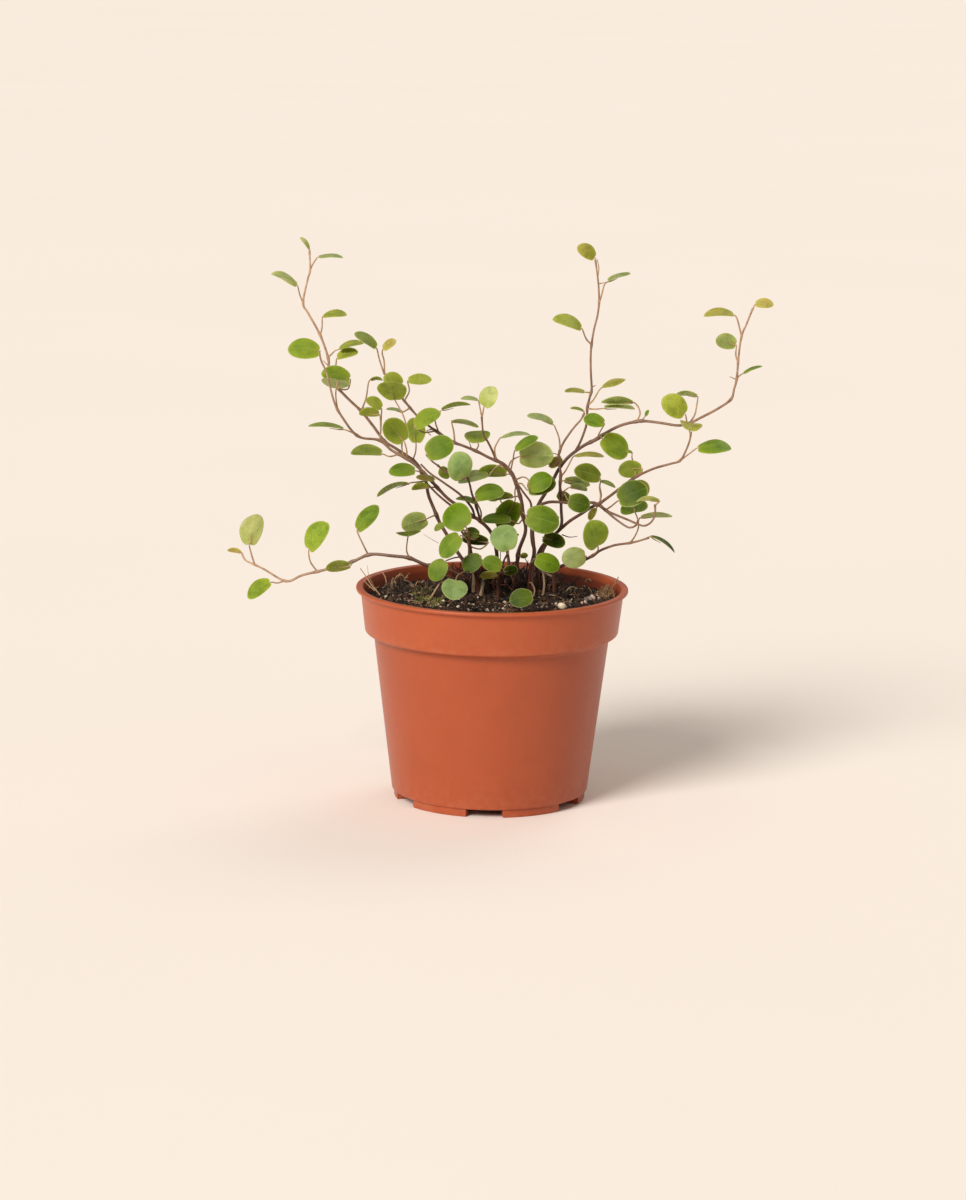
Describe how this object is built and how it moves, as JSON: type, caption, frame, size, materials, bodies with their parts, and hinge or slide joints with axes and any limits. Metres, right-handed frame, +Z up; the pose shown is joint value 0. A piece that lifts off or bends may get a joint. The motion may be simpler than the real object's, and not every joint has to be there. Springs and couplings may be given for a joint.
{
  "type": "potted wire vine",
  "caption": "Small trailing vine with wiry brown stems and round green leaves, growing from soil in a tapered plastic nursery pot with a collared rim and a footed base.",
  "frame": {"origin": "on the surface that the pot stands on, under the middle of the object's box, which is the pot's axis to within a millimetre", "axes": "+Z up along the pot's axis; +X to the viewer's right in the picture's view; +Y away from the viewer"},
  "size_m": [0.1349, 0.068, 0.1383],
  "materials": {
    "pot_plastic": "satin moulded terracotta-coloured plastic",
    "soil": "dark crumbly potting mix with fibres and grit",
    "foliage": "satin green leaves on smooth brown wiry stems"
  },
  "bodies": {
    "root": {"pot": "pot_plastic", "soil": "soil", "stem_low_left": "foliage", "stem_tall_left": "foliage", "stem_inner_left": "foliage", "stem_arching_left": "foliage", "stem_tall_right": "foliage", "stem_inner_right": "foliage", "stem_branching_right": "foliage", "stem_hooked_right": "foliage", "stem_low_right": "foliage", "stem_front_left": "foliage", "stem_front_middle": "foliage", "stem_front_right": "foliage", "stem_back_middle": "foliage", "stem_back_right": "foliage", "stem_back_left": "foliage"}
  },
  "joints": []
}
